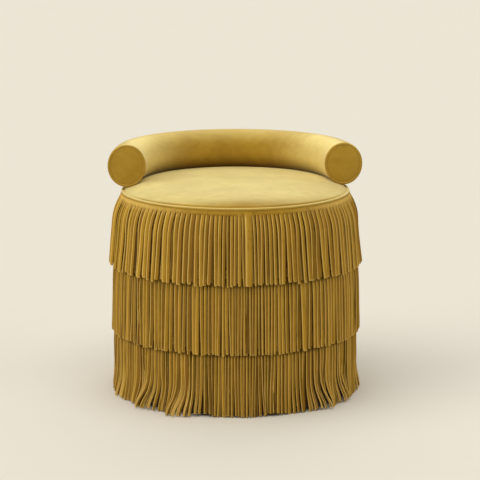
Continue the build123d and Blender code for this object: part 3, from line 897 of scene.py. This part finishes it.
# Slow waves round the drum: sines of several whole numbers of turns, added up
def waves(angle, turns, rng):
    phase = rng.uniform(0, 2 * np.pi, len(turns))
    return np.sin(angle * np.array(turns) + phase).sum(axis=1, keepdims=True) / math.sqrt(len(turns))


# Degrees from a place round the drum, from -180 to 180
def turnsApart(angle, place):
    return (np.degrees(angle) - place + 180) % 360 - 180


# Share of the way from the front to the sides, eased, and 1 all round the back
def atSide(angle):
    offFront = np.abs(turnsApart(angle, np.degrees(frontAngle)))
    return ease((offFront - frontZone.begin) / frontZone.over)


# Pitch at a bearing from the front: 1 in front and at the back, growing by a share at the sides
def pitchAt(bearing, wider):
    toSide = np.minimum(np.abs(bearing), np.pi - np.abs(bearing))
    return 1 + wider * ease(toSide / math.radians(frontZone.widens))


# Strip places round the drum: the strips passed up to a bearing add up as 1 / pitch, which is read
# backwards from even shares; gives the angles and how far each slot is stretched
def stripPlaces(share, first, wider):
    bearing = np.linspace(-np.pi, np.pi, frontZone.steps)
    pitch = pitchAt(bearing, wider)
    density = (1 / pitch[1:] + 1 / pitch[:-1]) / 2
    passed = np.concatenate([[0], np.cumsum(np.diff(bearing) * density)])
    begin = np.interp(first - frontAngle, bearing, passed / passed[-1])
    place = np.interp((begin + share) % 1, passed / passed[-1], bearing)
    return place + frontAngle, pitchAt(place, wider) * passed[-1] / (2 * np.pi)


# One tier's strips in two layers, a row each: its place, then its width, turn, lean, cut, tone and so
# on, drawn at random and added to slow waves; flicks sway out at the end
def stripTraits(s):
    rng = np.random.default_rng(s.seed)
    t = SimpleNamespace()
    slots = s.strips + s.wideSlots
    wide = np.zeros(min(s.wideSlots, 1))
    front = (s.wideSlots + 1) / 2 + np.arange(s.strips)
    share = np.concatenate([wide, front, np.arange(slots)])[:, None] / slots
    t.angle, stretch = stripPlaces(share, math.radians(s.wideAngle), s.wider)
    size = share.shape
    order = np.arange(len(share))[:, None]
    t.behind = (order >= len(wide) + len(front)).astype(float)
    isWide = order < len(wide)
    zigzag = np.where(order % 2, 1, -1)
    sideways = np.sin(t.angle - frontAngle)
    t.toLeft = np.maximum(-sideways, 0)
    toRight = np.maximum(sideways, 0)

    slotWidth = 2 * np.pi / slots * s.drape[-1][0] * stretch
    width = slotWidth * s.width * (1 + rng.normal(0, s.widthSpread, size))
    width = width * (1 - (1 - s.rearWidth) * t.behind)
    t.width = np.where(isWide, slotWidth * s.wideSlots * s.wideShare, width)
    turnLeft, turnRight = s.turnAcross
    calmLeft, calmRight = s.calm
    turn = s.turn * np.cos(t.angle - frontAngle) + turnLeft * t.toLeft + turnRight * toRight
    uneven = rng.normal(0, s.turnSpread, size) * (1 - calmLeft * t.toLeft - calmRight * toRight)
    turn = np.radians(turn + uneven) * (1 - s.rearTurn * t.behind)
    t.turn = np.where(isWide, math.radians(s.wideTurn), turn)
    lean = rng.normal(0, s.lean, size) + s.bunch * waves(t.angle, s.leanWaves, rng)
    t.lean = lean + s.spread * sideways
    t.pair = s.pair * np.abs(sideways) * zigzag * rng.uniform(*s.pairSpread, size)
    t.puff = rng.normal(0, s.puff, size) + s.puff * waves(t.angle, s.puffWaves, rng)
    t.tipOut = rng.normal(0, s.tipOut, size)
    cut = rng.uniform(*s.cut, size) + s.cutWave * waves(t.angle, s.cutWaves, rng)
    t.cut = cut - s.rearShort * t.behind
    # Sunk strips sit deeper and are darkened by painted shade; strips on the left get painted shade as
    # well
    chance, sink, dim = s.sunk
    sunk = (rng.random(size) < chance) * (1 - t.behind) * (1 - isWide)
    t.sunk = sink * sunk
    tone = np.clip(rng.normal(*s.tone, size) - dim * sunk - s.dimLeft * t.toLeft, 0, 1)
    # Painted shade: rear strips darker, some nearly black, so the gaps read dark
    rearTone = np.where(rng.random(size) < s.rearDark, s.darkTone, s.rearTone)
    t.tone = np.where(isWide, s.wideTone, tone * np.where(t.behind > 0, rearTone, 1))
    t.tint = np.clip(rng.normal(*s.tint, size), 0, 1) * (1 - isWide)
    for place, half, lift in s.bare:
        near = np.abs(turnsApart(t.angle, place)) < half
        t.cut = np.where(near, rng.uniform(*s.bareSpread, size) - lift, t.cut)
        t.turn = np.where(near, t.turn * s.bareTurn, t.turn)
    t.flick = np.zeros(size)
    t.curl = np.zeros(size)
    t.loose = np.zeros(size)
    for place, half, across, outward in s.flicks:
        near = np.exp(-((turnsApart(t.angle, place) / half) ** 2))
        t.loose = np.maximum(t.loose, near)
        near = near * (1 - s.rearFlick * t.behind)
        t.flick = t.flick + across * near * rng.uniform(*s.flickSpread, size)
        t.curl = t.curl + outward * near
    t.apart = t.loose * zigzag
    t.worn = s.worn * rng.uniform(0, 1, size) * (1 - t.behind)
    t.wisp = t.loose * rng.uniform(*s.wispWear, size) * (rng.random(size) < s.wisps)
    t.bow = rng.normal(*s.cup, size)
    return t


# Points of the strips: a flat section carried down the drape, turned about its length, bowed, leaned
# sideways and curled out at the tip, and kept off the wall and the floor
def stripPoints(s, t, along, drape):
    run, curve, normal = drape
    radius, height, outR, outZ = (np.interp(along, run, values) for values in (*curve.T, *normal.T))
    covered = s.headerCover * (1 - s.coverLoss * atSide(t.angle))
    free = ease((along - covered) / s.settle)
    sinkFrom, sinkOver = s.standSettle
    sunkIn = ease((along - sinkFrom) / sinkOver)
    out = sunkIn * s.standOff - free * s.layerGap * t.behind
    out = out + t.puff * np.sin(np.pi * stations) - t.sunk * sunkIn
    out = out + t.tipOut * stations**2 - s.leather * t.behind
    out = out + t.curl * tip**3 + s.stagger * t.apart * tip
    sway = t.lean * stations ** s.leanBend + t.pair * ease(stations / s.pairOver)
    sway = sway + t.flick * tip**2
    twist = (t.turn * free - s.flickTwist * np.abs(t.flick) * tip)[:, :, None]

    taper = (s.taper + s.thin * t.loose) * (1 - s.rearTaper * t.behind)
    taper = taper * ease((stations - s.taperFrom) / (1 - s.taperFrom))
    side = (t.width * (1 - taper))[:, :, None] * acrossRing
    depth = s.leather * throughRing + (t.bow * free)[:, :, None] * (1 - 4 * acrossRing**2)
    lift = side * np.sin(twist) + depth * np.cos(twist)
    slide = sway[:, :, None] + side * np.cos(twist) - depth * np.sin(twist)
    middle = np.maximum(radius + outR * out, np.interp(height, *s.wall) + s.leather / 2)
    reach = middle[:, :, None] + lift * outR[:, :, None]
    level = (height + outZ * out)[:, :, None] + lift * outZ[:, :, None]
    return roundAxis(reach, t.angle[:, :, None], np.maximum(level, s.floorGap), slide)


# Wear and painted sheen of the strips: rubbed ends, pale wisps among the flicks, and painted sheen on the
# tops at the sides
def stripWearAndSheen(s, t, along):
    share, fade = s.sideWear
    wearAndSheen = t.worn * ease((stations - s.wornFrom) / (1 - s.wornFrom)) + t.wisp * tip
    # Painted sheen: pale tops of the strips at the sides
    atTop = share * (1 - s.rearWear * t.behind) * atSide(t.angle)
    return wearAndSheen + atTop * (1 - ease(along / (fade * (1 - s.rearFade * t.behind))))


# Values for a header's rows, outside from the bottom up and inside from the top down
def bothFaces(values):
    return np.array([*values[::-1], *values])[:, None]


# Charts each strip by its width and length, side by side, and keeps its cut corners crisp
def chartStrips(mesh, along, shape, s):
    total = len(mesh.vertices)
    stripTotal = math.prod(shape)
    ring = shape[2]
    chart = np.full((total, 2), s.header, np.float32)
    ownStrip = np.arange(shape[0])[:, None, None] * s.apart
    chart[:stripTotal, 0] = np.broadcast_to(acrossRing * s.width + ownStrip, shape).ravel()
    chart[:stripTotal, 1] = np.broadcast_to(along[:, :, None] * mm, shape).ravel()
    corner = np.empty(len(mesh.loops), np.int32)
    mesh.loops.foreach_get("vertex_index", corner)
    mesh.uv_layers.new(name="stripMap").data.foreach_set("uv", chart[corner].ravel())
    ends = np.empty(len(mesh.edges) * 2, np.int32)
    mesh.edges.foreach_get("vertices", ends)
    first, second = ends.reshape(-1, 2).T
    column = np.arange(total) % ring
    station = np.arange(total) // ring % shape[1]
    lengthwise = (column[first] == column[second]) & (column[first] % (ring // 2) != 1)
    endwise = (station[first] == station[second]) & (station[first] == shape[1] - 1)
    crisp = (lengthwise | endwise) & (first < stripTotal)
    mesh.attributes.new("sharp_edge", "BOOLEAN", "EDGE").data.foreach_set("value", crisp)


# One tier: a turned header band, two layers of strips hung from it, and the marks its material reads
def buildFringe(s):
    drape = smoothLine(s.drape, s.tail)
    length = drape[0][-1] - s.tail
    t = stripTraits(s)
    along = stations * (length + t.cut)
    points = stripPoints(s, t, along, drape)
    shape = points.shape[:3]
    band = np.asarray(s.header)
    half = (s.headerHalf, 0)
    header = turned(np.concatenate([band[::-1] + half, band - half]), s.headerSteps)
    headerFaces = gridFaces(*header.shape[:2], True, True) + math.prod(shape)
    allPoints = np.concatenate([points.reshape(-1, 3), header.reshape(-1, 3)])
    allFaces = np.concatenate([tubeCopies(*shape), headerFaces])
    piece = newPiece(s.name, allPoints, allFaces, stripSuede, s.stands)

    # Painted sheen on the header at the sides
    headerSides = atSide(np.arctan2(header[:, :, 1], header[:, :, 0]))
    headerWear = bothFaces(s.headerWear) * s.sideWear[0] * headerSides
    marks = (
        (t.tone[:, :, None], bothFaces(s.headerTone)),
        (t.tint[:, :, None], 0.0),
        # Across shifted on the left side: a wider painted highlight on each strip's left edge
        (acrossRing - s.paleLeft * t.toLeft[:, :, None], 0.0),
        (stripWearAndSheen(s, t, along)[:, :, None], headerWear),
        ((along - s.sheltered)[:, :, None], s.headerClear),
    )
    for title, (onStrips, onHeader) in zip(stripMarks, marks):
        strips = np.broadcast_to(onStrips, shape)
        rows = np.broadcast_to(onHeader, header.shape[:2])
        stored = np.concatenate([strips.ravel(), rows.ravel()]).astype(np.float32)
        piece.data.attributes.new(title, "FLOAT", "POINT").data.foreach_set("value", stored)
    chartStrips(piece.data, along, shape, s.chart)

    print(s.name, "built from", shape[0], "strips")


buildFringe(upperFringe)
buildFringe(middleFringe)
buildFringe(lowerFringe)

# Finishes of the pieces that keep their own shape, by the starts of their names
keptFinishes = (
    (plywood, ("base_board", "deck_board", "hoop_", "drum_wall", "bolster_core", "bolster_end_board")),
    (timber, "post_"),
    (steel, ("base_screws", "deck_screws", "glide_screws", "bolster_end_screws", "bolster_inserts",
             "bolster_spacers", "bolster_washers", "bolster_bolts")),
    (nylon, tuple(f"glide_{number}" for number in range(1, 7))),
)
for finish, starts in keptFinishes:
    for name, node in nodes.items():
        if name.startswith(starts):
            node.data.materials.clear()
            node.data.materials.append(finish)
print("kept pieces finished")

studio = settings(
    floorReach=60, floorColours=((226, 222, 212), (224.5, 220.5, 210.6)), floorCloud=0.8,
    floorLook={"Roughness": 0.9, "Specular IOR Level": 0.05}, skyColour=(1, 0.985, 0.95, 1),
    sky=0.18,
    lamps={
        "keyLamp": (1.95, 70, (-0.15, -0.15, 1), (1, 0.98, 0.94)),
        "backLamp": (0.7, 60, (0.15, 1, 0.75), (1, 0.98, 0.94)),
        "leftLamp": (0.98, 60, (-1, -0.25, 0.45), (1, 0.95, 0.78)),
        "rightLamp": (0.52, 60, (1, -0.25, 0.45), (1, 0.95, 0.78)),
    },
    lens=140.66, sensor=36, farthest=200, eye=(-0.2751, -3.9905, 1.118), tilt=(78.75, 0, -4.085),
)


# Wide pale floor with a faint cloud
def buildFloor(s):
    reach = s.floorReach
    corners = [(-reach, -reach, 0), (reach, -reach, 0), (reach, reach, 0), (-reach, reach, 0)]
    mesh = bpy.data.meshes.new("floor")
    mesh.from_pydata(corners, [], [(0, 1, 2, 3)])
    floor = bpy.data.objects.new("floor", mesh)
    scene.collection.objects.link(floor)
    material, tree, shader = newMaterial("paleFloor", s.floorLook)
    cloud = noise(tree, objectPoint(tree), s.floorCloud)
    tree.links.new(blend(tree, cloud, *s.floorColours), shader.inputs["Base Color"])
    mesh.materials.append(material)


# Even sky, a broad soft lamp above, one behind and one at each side, and the camera
def buildStudio(s):
    world = bpy.data.worlds.new("studioSky")
    world.use_nodes = True
    sky = world.node_tree.nodes["Background"]
    sky.inputs["Color"].default_value = s.skyColour
    sky.inputs["Strength"].default_value = s.sky
    scene.world = world
    for title, (strength, angle, (east, north, up), colour) in s.lamps.items():
        lamp = bpy.data.lights.new(title, "SUN")
        lamp.energy = strength
        lamp.angle = math.radians(angle)
        lamp.color = colour
        lampObject = bpy.data.objects.new(title, lamp)
        lampObject.rotation_euler = (math.atan2(math.hypot(east, north), up), 0, math.atan2(east, -north))
        scene.collection.objects.link(lampObject)
    view = bpy.data.cameras.new("camera")
    view.lens = s.lens
    view.sensor_width = s.sensor
    view.clip_end = s.farthest
    camera = bpy.data.objects.new("camera", view)
    camera.location = s.eye
    camera.rotation_euler = [math.radians(part) for part in s.tilt]
    scene.collection.objects.link(camera)
    scene.camera = camera
    scene.view_settings.view_transform = "Standard"


buildFloor(studio)
buildStudio(studio)
print("studio ready")
